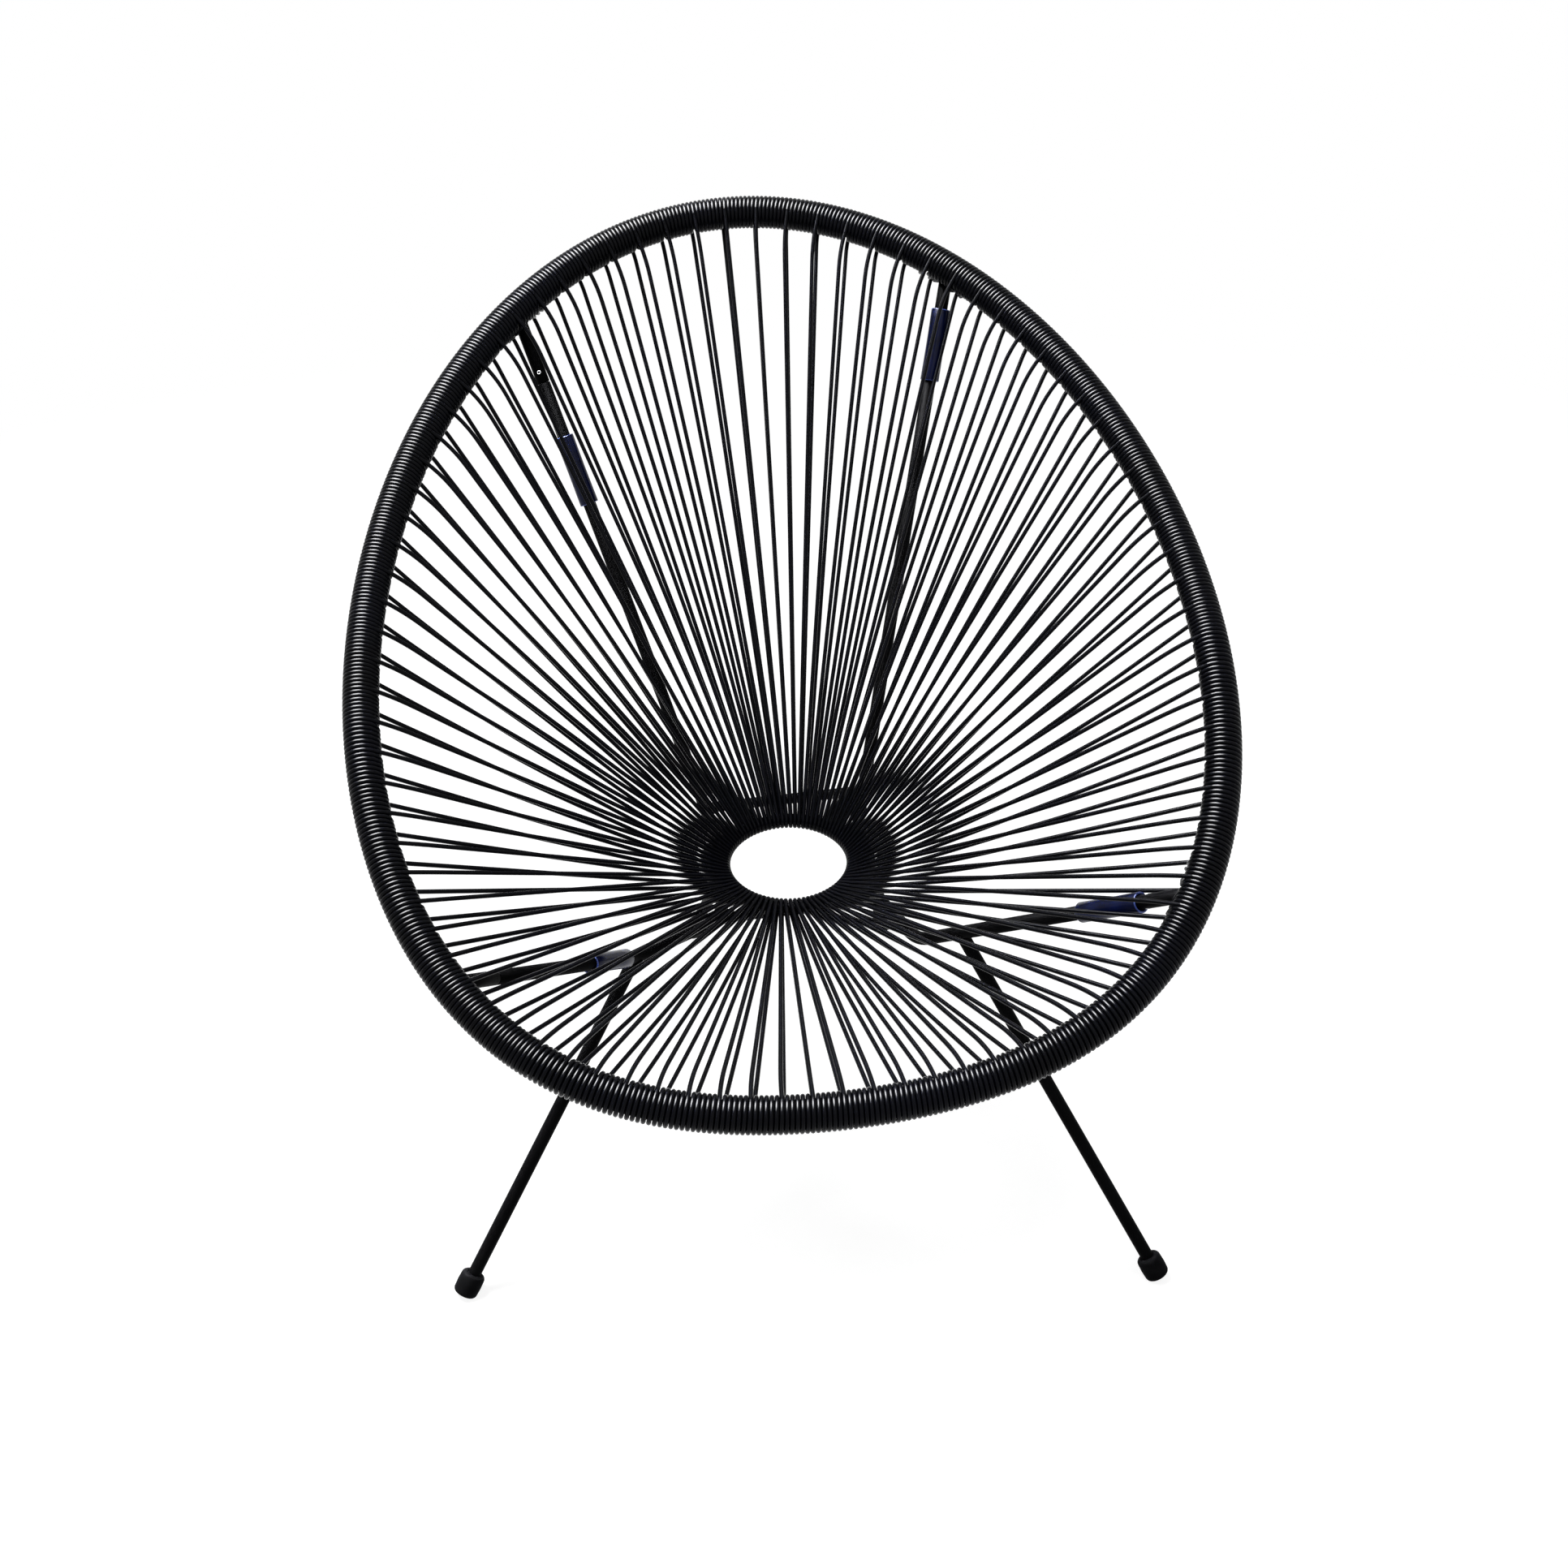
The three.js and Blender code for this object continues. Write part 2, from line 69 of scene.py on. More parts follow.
CORD = 1.9 * MM
CORD_SIDES = 8
CORD_SEED = 11
LOOPS = 90
WEBS = 15
LOOPS_PER_WEB = LOOPS // WEBS
HOOP_RINGS = 4 * LOOPS
TOP_SPREAD = 0.121
SIDE_SPREAD = 0.0385
TIGHTEST_PITCH = 3.62 * MM
TURN_STEPS = 20
CORD_GAP = 0.2 * MM
WOUND_RADIUS = HOOP_TUBE + CORD + CORD_GAP
LOOP_SHIFT = 1 * MM
FRONT_BEND = 22 * MM
BACK_BEND = 12 * MM
BEND_POINTS = 6
HUB_GAP = 0.05 * MM
HUB_WRAP_RADIUS = HUB_ROD + CORD + HUB_GAP
HUB_WRAP_STEPS = 12
HUB_DRIFT = 0.1
HUB_SLACK = 0.05

ROD = 6 * MM
ROD_SIDES = 24
BEND_RADIUS = 40 * MM
BEND_STEPS = 12
STUB_LENGTH = 62 * MM
PIN = 4 * MM
PIN_LENGTH = 20 * MM
GAP = 0.3 * MM
CHAMFER = 0.5 * MM

# A pin's shoulder is this long, and a lathe profile stops this far from its axis
SHOULDER = 0.01 * MM
POLE = 0.1 * MM

SCREW = 2 * MM
SCREW_SIDES = 24
SCREW_CORNERS = 6
SCREW_CHAMFER = 0.25 * MM
SCREW_EDGE = 0.86 * SCREW
SCREW_SOCKET = 0.5 * SCREW
SCREW_SOCKET_DEPTH = 1.6 * MM

KEEL_HEIGHT = 285 * MM
CROSS_BAR = 5 * MM
REAR_CROSS_BAR_RISE = 52 * MM
BAR_RING_SHARES = (0.02, 0.25, 0.5, 0.75, 0.98)
SETBACK = {"upper": 11 * MM, "lower": 0.0}

# Where a stub comes out through the winding, the turns leave it this much room
STUB_ROOM = ROD + CORD + 1.0 * MM
STUB_REACH = 28 * MM
STUB_ARC = math.radians(62)
STUB_FULLNESS = 1.6
STUB_CLIMB = 2.6 * MM

BEAD = 1.3 * MM
BEAD_SIZES = (0.82, 1.12)
BEAD_SEED = 7
BEAD_RISE = 0.6 * MM
BEAD_SEAT = 0.5 * MM
BEAD_STEPS = 36

CAP_RADIUS = 11.5 * MM
CAP_LENGTH = 22 * MM
CAP_SIDES = 48
CAP_ROUND = 4 * MM
CAP_ROUND_STEPS = 6
CAP_ROUND_DEPTH = 0.9 * CAP_ROUND
CAP_ROUND_WIDTH = CAP_ROUND - 0.35 * MM
CAP_SOCKET = 16 * MM
CAP_MOUTH = 0.6 * MM
CAP_MOUTH_DEPTH = 0.5 * MM
CAP_FLOOR_CUT = 2.5 * MM

SLEEVE_RADIUS = 8.8 * MM
SLEEVE_BORE = 6.7 * MM
SLEEVE_LENGTH = 66 * MM
SLEEVE_SIDES = 40
SLEEVE_LIP = 0.7 * MM
SLEEVE_NOSE = 0.3 * SLEEVE_LIP
SLEEVE_ROOM = 20 * MM

# Places in plan are shares of the hoop's half width and half length, a stub's place is a share of the
# loops, a leg's is a share of the run from hoop to corner, and a sleeve's is a share of its room there
SIDES = {
    "left": {
        "stub": {"upper": 0.9167, "lower": 0.6492},
        "strut_foot": (-0.1882, 0.4136), "keel_front": (-0.2176, 0.1818),
        "corner": (-0.4206, 0.0318),
        "front_foot": (-0.9088, -0.2364), "rear_foot": (-0.3235, 1.0182),
        "leg": 0.0067, "sleeve": {"upper": 0.2502, "lower": 0.999},
    },
    "right": {
        "stub": {"upper": 0.0833, "lower": 0.3483},
        "strut_foot": (0.1882, 0.4136), "keel_front": (0.2176, 0.1818),
        "corner": (0.3235, 0.0545),
        "front_foot": (0.9294, -0.2636), "rear_foot": (0.3235, 1.0182),
        "leg": 0.1764, "sleeve": {"upper": 0.0658, "lower": 0.2388},
    },
}

UP_SLOPE = Vector((0, math.cos(HOOP_SLOPE), math.sin(HOOP_SLOPE)))
OUT_OF_PLANE = Vector((0, -math.sin(HOOP_SLOPE), math.cos(HOOP_SLOPE)))
SIDEWAYS = Vector((1, 0, 0))
STEEP = 0.9
HUB_AWAY = Vector((0, math.cos(HUB_SLOPE), math.sin(HUB_SLOPE)))
HUB_UP = Vector((0, -math.sin(HUB_SLOPE), math.cos(HUB_SLOPE)))


# Camera, light and floor

CAMERA_PLACE = Vector((-0.029317, -1.496321, 1.3139))
CAMERA_YAW = math.radians(0.940)
CAMERA_PITCH = math.radians(30.773)
CAMERA_ROLL = math.radians(-1.580)
CAMERA_LENS = 44.993
CAMERA_SENSOR = 36
CAMERA_REACH = 100

CHAIR_MIDDLE = Vector((0, 0, 0.45))
LAMP_PLACE = Vector((-1.4, 0.5, 4.2))
LAMP_SIDE = 1.4
LAMP_WATTS = 125
CARD_SIDE = 5.6
CARD_GLOW = 210
FILL_PLACE = Vector((1.4, -2.6, 2.2))
FILL_SIDE = 1.8
FILL_WATTS = 6
ROOM_LIGHT = 0.3

FLOOR_SIDE = 60
FLOOR_WHITE = (0.9, 0.9, 0.9, 1)
FLOOR_SHADED = (0.34, 0.34, 0.34, 1)
FLOOR_GLOW = (0.86, 0.86, 0.86, 1)
FLOOR_FADE = (0.9, 2.6)


def set_camera():
    run = Vector((math.sin(CAMERA_YAW), math.cos(CAMERA_YAW), 0))
    ahead = run * math.cos(CAMERA_PITCH)
    ahead.z = -math.sin(CAMERA_PITCH)
    level = Vector((run.y, -run.x, 0))
    over = level.cross(ahead)
    right = level * math.cos(CAMERA_ROLL) + over * math.sin(CAMERA_ROLL)
    up = over * math.cos(CAMERA_ROLL) - level * math.sin(CAMERA_ROLL)
    data = bpy.data.cameras.new("photo_camera")
    data.sensor_width = CAMERA_SENSOR
    data.lens = CAMERA_LENS
    data.clip_end = CAMERA_REACH
    camera = bpy.data.objects.new("photo_camera", data)
    place = Matrix((right, up, -ahead)).transposed().to_4x4()
    place.translation = CAMERA_PLACE
    camera.matrix_world = place
    bpy.context.scene.collection.objects.link(camera)
    bpy.context.scene.camera = camera


def aimed_at_chair(place):
    turn = (CHAIR_MIDDLE - place).to_track_quat("-Z", "Y")
    return Matrix.Translation(place) @ turn.to_matrix().to_4x4()


def area_light(name, place, side, watts):
    data = bpy.data.lights.new(name, "AREA")
    data.shape = "RECTANGLE"
    data.size = side
    data.size_y = side
    data.energy = watts
    lamp = bpy.data.objects.new(name, data)
    lamp.visible_camera = False
    lamp.matrix_world = aimed_at_chair(place)
    bpy.context.scene.collection.objects.link(lamp)
    return lamp


def stage_square(name, side, place=Matrix()):
    """A flat square with an empty material of its own name: the object, its nodes and their links."""
    half = side / 2
    mesh = bpy.data.meshes.new(name)
    corners = [(-half, -half, 0), (half, -half, 0), (half, half, 0), (-half, half, 0)]
    mesh.from_pydata(corners, [], [(0, 1, 2, 3)])
    mesh.transform(place)
    square = bpy.data.objects.new(name, mesh)
    bpy.context.scene.collection.objects.link(square)
    material = bpy.data.materials.new(name)
    material.use_nodes = True
    material.node_tree.nodes.clear()
    mesh.materials.append(material)
    return square, material.node_tree.nodes, material.node_tree.links


def reflector_card(place, side, strength):
    """A studio card that shows only as the bright streak in glossy surfaces."""
    card, nodes, links = stage_square("reflector_card", side, aimed_at_chair(place))
    spot = nodes.new("ShaderNodeTexCoord")
    away = nodes.new("ShaderNodeVectorMath")
    away.operation = "DISTANCE"
    away.inputs[1].default_value = place
    fade = nodes.new("ShaderNodeMapRange")
    fade.interpolation_type = "SMOOTHSTEP"
    fade.inputs["From Max"].default_value = side / 2
    fade.inputs["To Min"].default_value = strength
    fade.inputs["To Max"].default_value = 0
    glow = nodes.new("ShaderNodeEmission")
    out = nodes.new("ShaderNodeOutputMaterial")
    links.new(spot.outputs["Object"], away.inputs[0])
    links.new(away.outputs["Value"], fade.inputs["Value"])
    links.new(fade.outputs["Result"], glow.inputs["Strength"])
    links.new(glow.outputs[0], out.inputs["Surface"])
    card.visible_camera = card.visible_diffuse = card.visible_shadow = False
    card.visible_transmission = card.visible_volume_scatter = False


def seen_directly(nodes, links):
    """One where a surface is seen, mirrored or looked at through glass, and zero where it lights things."""
    path = nodes.new("ShaderNodeLightPath")
    first = nodes.new("ShaderNodeMath")
    first.operation = "MAXIMUM"
    second = nodes.new("ShaderNodeMath")
    second.operation = "MAXIMUM"
    links.new(path.outputs["Is Camera Ray"], first.inputs[0])
    links.new(path.outputs["Is Glossy Ray"], first.inputs[1])
    links.new(first.outputs[0], second.inputs[0])
    links.new(path.outputs["Is Transmission Ray"], second.inputs[1])
    return second.outputs[0]


def set_world():
    world = bpy.data.worlds.new("studio")
    world.use_nodes = True
    bpy.context.scene.world = world
    nodes, links = world.node_tree.nodes, world.node_tree.links
    back = nodes["Background"]
    back.inputs["Color"].default_value = (1, 1, 1, 1)
    level = nodes.new("ShaderNodeMapRange")
    level.inputs["To Min"].default_value = ROOM_LIGHT
    level.inputs["To Max"].default_value = 1
    links.new(seen_directly(nodes, links), level.inputs["Value"])
    links.new(level.outputs["Result"], back.inputs["Strength"])


def set_lamps():
    lamp = area_light("overhead_lamp", LAMP_PLACE, LAMP_SIDE, LAMP_WATTS)
    lamp.visible_glossy = False
    reflector_card(LAMP_PLACE, CARD_SIDE, CARD_GLOW)
    area_light("front_fill", FILL_PLACE, FILL_SIDE, FILL_WATTS)


def set_floor():
    """White paint for the light it gives back. Seen, it glows, holds the shadow and fades to plain white."""
    floor, nodes, links = stage_square("floor", FLOOR_SIDE)
    paint = nodes.new("ShaderNodeBsdfDiffuse")
    paint.inputs["Color"].default_value = FLOOR_WHITE
    shaded = nodes.new("ShaderNodeBsdfDiffuse")
    shaded.inputs["Color"].default_value = FLOOR_SHADED
    glow = nodes.new("ShaderNodeEmission")
    glow.inputs["Color"].default_value = FLOOR_GLOW
    both = nodes.new("ShaderNodeAddShader")
    white = nodes.new("ShaderNodeEmission")
    place = nodes.new("ShaderNodeTexCoord")
    away = nodes.new("ShaderNodeVectorMath")
    away.operation = "LENGTH"
    fade = nodes.new("ShaderNodeMapRange")
    fade.inputs["From Min"].default_value = FLOOR_FADE[0]
    fade.inputs["From Max"].default_value = FLOOR_FADE[1]
    shown = nodes.new("ShaderNodeMixShader")
    mix = nodes.new("ShaderNodeMixShader")
    out = nodes.new("ShaderNodeOutputMaterial")
    links.new(shaded.outputs[0], both.inputs[0])
    links.new(glow.outputs[0], both.inputs[1])
    links.new(place.outputs["Object"], away.inputs[0])
    links.new(away.outputs["Value"], fade.inputs["Value"])
    links.new(fade.outputs["Result"], shown.inputs["Fac"])
    links.new(both.outputs[0], shown.inputs[1])
    links.new(white.outputs[0], shown.inputs[2])
    links.new(seen_directly(nodes, links), mix.inputs["Fac"])
    links.new(paint.outputs[0], mix.inputs[1])
    links.new(shown.outputs[0], mix.inputs[2])
    links.new(mix.outputs[0], out.inputs["Surface"])


# Finishes

MOTTLE_STOPS = (0.3, 0.7)


class Finish:
    """A principled surface with helpers for its mottled colour, its wear and its grain."""

    def __init__(self, name, color, roughness, metallic=0.0, specular=0.5):
        self.material = bpy.data.materials.new(name)
        self.material.use_nodes = True
        self.material.diffuse_color = (*color, 1)
        self.nodes = self.material.node_tree.nodes
        self.links = self.material.node_tree.links
        self.shader = self.nodes["Principled BSDF"]
        self.shader.inputs["Base Color"].default_value = (*color, 1)
        self.shader.inputs["Roughness"].default_value = roughness
        self.shader.inputs["Metallic"].default_value = metallic
        self.shader.inputs["Specular IOR Level"].default_value = specular
        self.place = self.nodes.new("ShaderNodeTexCoord").outputs["Object"]
        self.height = None

    def noise(self, scale, detail, stretch=(1, 1, 1)):
        mapping = self.nodes.new("ShaderNodeMapping")
        mapping.inputs["Scale"].default_value = stretch
        self.links.new(self.place, mapping.inputs["Vector"])
        texture = self.nodes.new("ShaderNodeTexNoise")
        texture.inputs["Scale"].default_value = scale
        texture.inputs["Detail"].default_value = detail
        self.links.new(mapping.outputs["Vector"], texture.inputs["Vector"])
        return texture.outputs["Fac"]

    def mottle(self, scale, dark, light, detail=3):
        """The colour drifts from a dark shade to a light one."""
        noise = self.noise(scale, detail)
        ramp = self.nodes.new("ShaderNodeValToRGB")
        for stop, position, color in zip(ramp.color_ramp.elements, MOTTLE_STOPS, (dark, light)):
            stop.position = position
            stop.color = (*color, 1)
        self.links.new(noise, ramp.inputs["Fac"])
        self.links.new(ramp.outputs["Color"], self.shader.inputs["Base Color"])

    def wear(self, scale, smooth, rough, detail=3):
        """The roughness drifts from smooth to rough."""
        noise = self.noise(scale, detail)
        level = self.nodes.new("ShaderNodeMapRange")
        level.inputs["To Min"].default_value = smooth
        level.inputs["To Max"].default_value = rough
        self.links.new(noise, level.inputs["Value"])
        self.links.new(level.outputs["Result"], self.shader.inputs["Roughness"])

    def grain(self, scale, strength, depth, detail=2, stretch=(1, 1, 1)):
        """Small unevenness of the surface, on top of any grain that it already has."""
        noise = self.noise(scale, detail, stretch)
        bump = self.nodes.new("ShaderNodeBump")
        bump.inputs["Strength"].default_value = strength
        bump.inputs["Distance"].default_value = depth
        self.links.new(noise, bump.inputs["Height"])
        if self.height:
            self.links.new(self.height, bump.inputs["Normal"])
        self.height = bump.outputs["Normal"]
        self.links.new(self.height, self.shader.inputs["Normal"])


def cord_finish():
    finish = Finish("black_pvc_cord", (0.0015, 0.0016, 0.003), roughness=0.2, specular=0.06)
    finish.mottle(scale=9, dark=(0.0008, 0.0009, 0.0016), light=(0.0022, 0.0025, 0.0055))
    finish.wear(scale=260, smooth=0.15, rough=0.25)
    finish.grain(scale=900, strength=0.12, depth=0.2 * MM)
    finish.grain(scale=120, strength=0.1, depth=0.5 * MM)
    return finish.material


def coat_finish():
    finish = Finish("black_powder_coat", (0.003, 0.003, 0.0034), roughness=0.45, specular=0.012)
    finish.mottle(scale=14, dark=(0.0015, 0.0015, 0.0018), light=(0.0038, 0.0038, 0.0044))
    finish.wear(scale=420, smooth=0.38, rough=0.55)
    finish.grain(scale=1400, strength=0.25, depth=0.12 * MM)
    finish.grain(scale=300, strength=0.12, depth=0.2 * MM)
    return finish.material


def sleeve_finish():
    finish = Finish("navy_sleeve_plastic", (0.003, 0.006, 0.045), roughness=0.2, specular=0.12)
    finish.mottle(scale=60, dark=(0.001, 0.0025, 0.020), light=(0.003, 0.008, 0.060))
    finish.wear(scale=240, smooth=0.16, rough=0.28)
    finish.grain(scale=700, strength=0.15, depth=0.15 * MM, stretch=(1, 1, 0.2))
    return finish.material


# Painted highlight: the sleeve's end rims get a much brighter blue than its body, standing in for the bright
# rim highlight on its ends.
def sleeve_rim_highlight_finish():
    finish = Finish("navy_sleeve_painted_rim_highlight", (0.02, 0.05, 0.30), roughness=0.3, specular=0.5)
    finish.mottle(scale=300, dark=(0.012, 0.035, 0.22), light=(0.035, 0.08, 0.42))
    finish.grain(scale=1500, strength=0.3, depth=0.15 * MM)
    return finish.material


def rubber_finish():
    finish = Finish("black_foot_rubber", (0.003, 0.003, 0.0034), roughness=0.6, specular=0.012)
    finish.mottle(scale=90, dark=(0.002, 0.002, 0.0024), light=(0.005, 0.005, 0.0058), detail=4)
    finish.wear(scale=500, smooth=0.5, rough=0.7)
    finish.grain(scale=1600, strength=0.3, depth=0.15 * MM, detail=3)
    return finish.material


def zinc_finish():
    finish = Finish("zinc_screw", (0.52, 0.53, 0.55), roughness=0.35, metallic=1.0)
    finish.wear(scale=900, smooth=0.28, rough=0.5)
    finish.grain(scale=1800, strength=0.2, depth=0.08 * MM)
    return finish.material


# The hoop's curve

def turned(point):
    return Matrix.Rotation(BASKET_TURN, 3, OUT_OF_PLANE) @ (point - HOOP_CENTRE) + HOOP_CENTRE


def hoop_point(angle):
    slope = HOOP_HALF_LENGTH * math.cos(angle) + HOOP_DROP * math.cos(2 * angle)
    side = HOOP_HALF_WIDTH * math.sin(angle) + HOOP_TAPER * math.sin(2 * angle)
    bow = -HOOP_BOW * math.cos(2 * angle)
    return turned(HOOP_CENTRE + UP_SLOPE * slope + OUT_OF_PLANE * bow + SIDEWAYS * side) + MIDDLE


def hoop_lengths():
    lengths = [0.0]
    last = hoop_point(0)
    for index in range(1, HOOP_SAMPLES + 1):
        point = hoop_point(index / HOOP_SAMPLES * FULL_TURN)
        lengths.append(lengths[-1] + (point - last).length)
        last = point
    return lengths


LENGTHS = hoop_lengths()
HOOP_LENGTH = LENGTHS[-1]


def hoop_angle_at(length):
    rest = length % HOOP_LENGTH
    low, high = 0, HOOP_SAMPLES
    while high - low > 1:
        middle = (low + high) // 2
        if LENGTHS[middle] > rest:
            high = middle
        else:
            low = middle
    share = (rest - LENGTHS[low]) / (LENGTHS[high] - LENGTHS[low])
    return (low + share) / HOOP_SAMPLES * FULL_TURN


def loop_place(loop):
    turn = loop / LOOPS * FULL_TURN
    spread = TOP_SPREAD * math.sin(turn) - SIDE_SPREAD / 2 * math.sin(2 * turn)
    return HOOP_LENGTH * (turn + spread) / FULL_TURN


class Spot:
    """A place on the hoop: its middle, its run, and the ways out of and in front of the ring."""

    def __init__(self, length):
        angle = hoop_angle_at(length)
        step = FULL_TURN / HOOP_SAMPLES
        self.middle = hoop_point(angle)
        self.run = (hoop_point(angle + step) - hoop_point(angle - step)).normalized()
        self.outward = -self.run.cross(OUT_OF_PLANE).normalized()
        self.front = -self.outward.cross(self.run).normalized()

    def around(self, radius, angle):
        return self.middle + self.outward * radius * math.cos(angle) + self.front * radius * math.sin(angle)


class HubSpot:
    """A place on the hub ring, counted in loops."""

    def __init__(self, loop):
        turn = loop / LOOPS * FULL_TURN
        self.outward = SIDEWAYS * math.sin(turn) + HUB_AWAY * math.cos(turn)
        self.middle = HUB_CENTRE + MIDDLE + self.outward * HUB_RADIUS

    def around(self, radius, angle):
        return self.middle + self.outward * radius * math.cos(angle) + HUB_UP * radius * math.sin(angle)


def tangent_angles(spot, hub):
    """Where a taut cord touches the hoop in front and behind, and the hub above and below."""
    way = hub.middle - spot.middle
    lean = math.atan2(-way.dot(spot.front), -way.dot(spot.outward))
    rise = math.atan2(-way.dot(HUB_UP), -way.dot(hub.outward))
    opening = math.asin((WOUND_RADIUS - HUB_WRAP_RADIUS) / way.length)
    return (lean + QUARTER + opening, lean - QUARTER - opening,
            rise + QUARTER + opening, rise + 3 * QUARTER - opening)


# Mesh making

def finished(name, mesh, materials):
    for material in materials:
        mesh.materials.append(material)
    mesh.polygons.foreach_set("use_smooth", [True] * len(mesh.polygons))
    piece = bpy.data.objects.new(name, mesh)
    bpy.context.scene.collection.objects.link(piece)
    return piece


def put_in(piece, node, body="frame"):
    """Rides a finished piece on its body, in place of its node."""
    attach(piece, body)
    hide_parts(node)


def first_across(direction):
    guide = Vector((0, 0, 1)) if abs(direction.z) < STEEP else SIDEWAYS
    return guide.cross(direction).normalized()


def circle(middle, across, up, radius, sides):
    turns = (side / sides * FULL_TURN for side in range(sides))
    return [middle + (across * math.cos(turn) + up * math.sin(turn)) * radius for turn in turns]


class Shell:
    """Vertices and faces gathered for one mesh."""

    def __init__(self):
        self.points = []
        self.faces = []
        self.slots = []

    def rings(self, rings, closed=False, slots=None):
        """Rings of points joined one to the next, with a lid on each open end."""
        sides = len(rings[0])
        first = len(self.points)
        for ring in rings:
            self.points.extend(ring)
        count = len(rings)
        for index in range(count if closed else count - 1):
            here = first + index * sides
            there = first + (index + 1) % count * sides
            for side in range(sides):
                ahead = (side + 1) % sides
                self.faces.append((here + side, here + ahead, there + ahead, there + side))
                self.slots.append(slots[index] if slots else 0)
        if not closed:
            self.faces.append(tuple(first + side for side in reversed(range(sides))))
            self.faces.append(tuple(first + (count - 1) * sides + side for side in range(sides)))
            self.slots.extend([slots[0] if slots else 0, slots[-1] if slots else 0])

    def mesh(self, name):
        mesh = bpy.data.meshes.new(name)
        mesh.from_pydata([tuple(point) for point in self.points], [], self.faces)
        mesh.polygons.foreach_set("material_index", self.slots)
        mesh.validate()
        return mesh


def swept(points, radii, sides, closed=False):
    """Rings along a route, carried without twist. radii is one number, or one for each point."""
    if not isinstance(radii, (list, tuple)):
        radii = [radii] * len(points)
    count = len(points)
    rings = []
    across = None
    for index, point in enumerate(points):
        before = points[(index - 1) % count] if closed or index else point
        after = points[(index + 1) % count] if closed or index + 1 < count else point
        run = (after - before).normalized()
        if across is None:
            across = first_across(run)
        across = (across - run * across.dot(run)).normalized()
        rings.append(circle(point, across, run.cross(across), radii[index], sides))
    return rings


def turned_on_lathe(origin, axis, profile, sides):
    """Rings about an axis from (distance along it, radius) pairs."""
    across = first_across(axis)
    up = axis.cross(across)
    return [circle(origin + axis * distance, across, up, radius, sides) for distance, radius in profile]


def rounded(points, radius, steps):
    """A route through the points, with an arc of so many steps at each corner."""
    route = [points[0]]
    for index in range(1, len(points) - 1):
        corner = points[index]
        back = (points[index - 1] - corner).normalized()
        on = (points[index + 1] - corner).normalized()
        half = back.angle(on) / 2
        middle = (back + on).normalized()
        centre = corner + middle * (radius / math.sin(half))
        start = corner + back * (radius / math.tan(half)) - centre
        axis = start.cross(on).normalized()
        for step in range(steps + 1):
            angle = (math.pi - 2 * half) * step / steps
            route.append(centre + Matrix.Rotation(angle, 3, axis) @ start)
    route.append(points[-1])
    return route


# Trees that repeat a shape

def new_tree(name, inputs):
    tree = bpy.data.node_groups.new(name, "GeometryNodeTree")
    tree.interface.new_socket("Geometry", in_out="INPUT", socket_type="NodeSocketGeometry")
    for label, kind in inputs:
        tree.interface.new_socket(label, in_out="INPUT", socket_type=kind)
    tree.interface.new_socket("Geometry", in_out="OUTPUT", socket_type="NodeSocketGeometry")
    return tree, tree.nodes.new("NodeGroupInput"), tree.nodes.new("NodeGroupOutput")


def finish_tree(tree, source, given, geometry):
    realize = tree.nodes.new("GeometryNodeRealizeInstances")
    shade = tree.nodes.new("GeometryNodeSetShadeSmooth")
    paint = tree.nodes.new("GeometryNodeSetMaterial")
    tree.links.new(geometry, realize.inputs[0])
    tree.links.new(realize.outputs[0], shade.inputs["Geometry"])
    tree.links.new(shade.outputs[0], paint.inputs["Geometry"])
    tree.links.new(source.outputs["Finish"], paint.inputs["Material"])
    tree.links.new(paint.outputs[0], given.inputs["Geometry"])


def round_cord_tree():
    """A round cord along each chain of edges."""
    tree, source, given = new_tree("round_cord", [
        ("Cord radius", "NodeSocketFloat"), ("Sides", "NodeSocketInt"), ("Finish", "NodeSocketMaterial")])
    chain = tree.nodes.new("GeometryNodeMeshToCurve")
    section = tree.nodes.new("GeometryNodeCurvePrimitiveCircle")
    sweep = tree.nodes.new("GeometryNodeCurveToMesh")
    sweep.inputs["Fill Caps"].default_value = True
    tree.links.new(source.outputs["Geometry"], chain.inputs["Mesh"])
    tree.links.new(source.outputs["Cord radius"], section.inputs["Radius"])
    tree.links.new(source.outputs["Sides"], section.inputs["Resolution"])
    tree.links.new(chain.outputs["Curve"], sweep.inputs["Curve"])
    tree.links.new(section.outputs["Curve"], sweep.inputs["Profile Curve"])
    finish_tree(tree, source, given, sweep.outputs["Mesh"])
    return tree


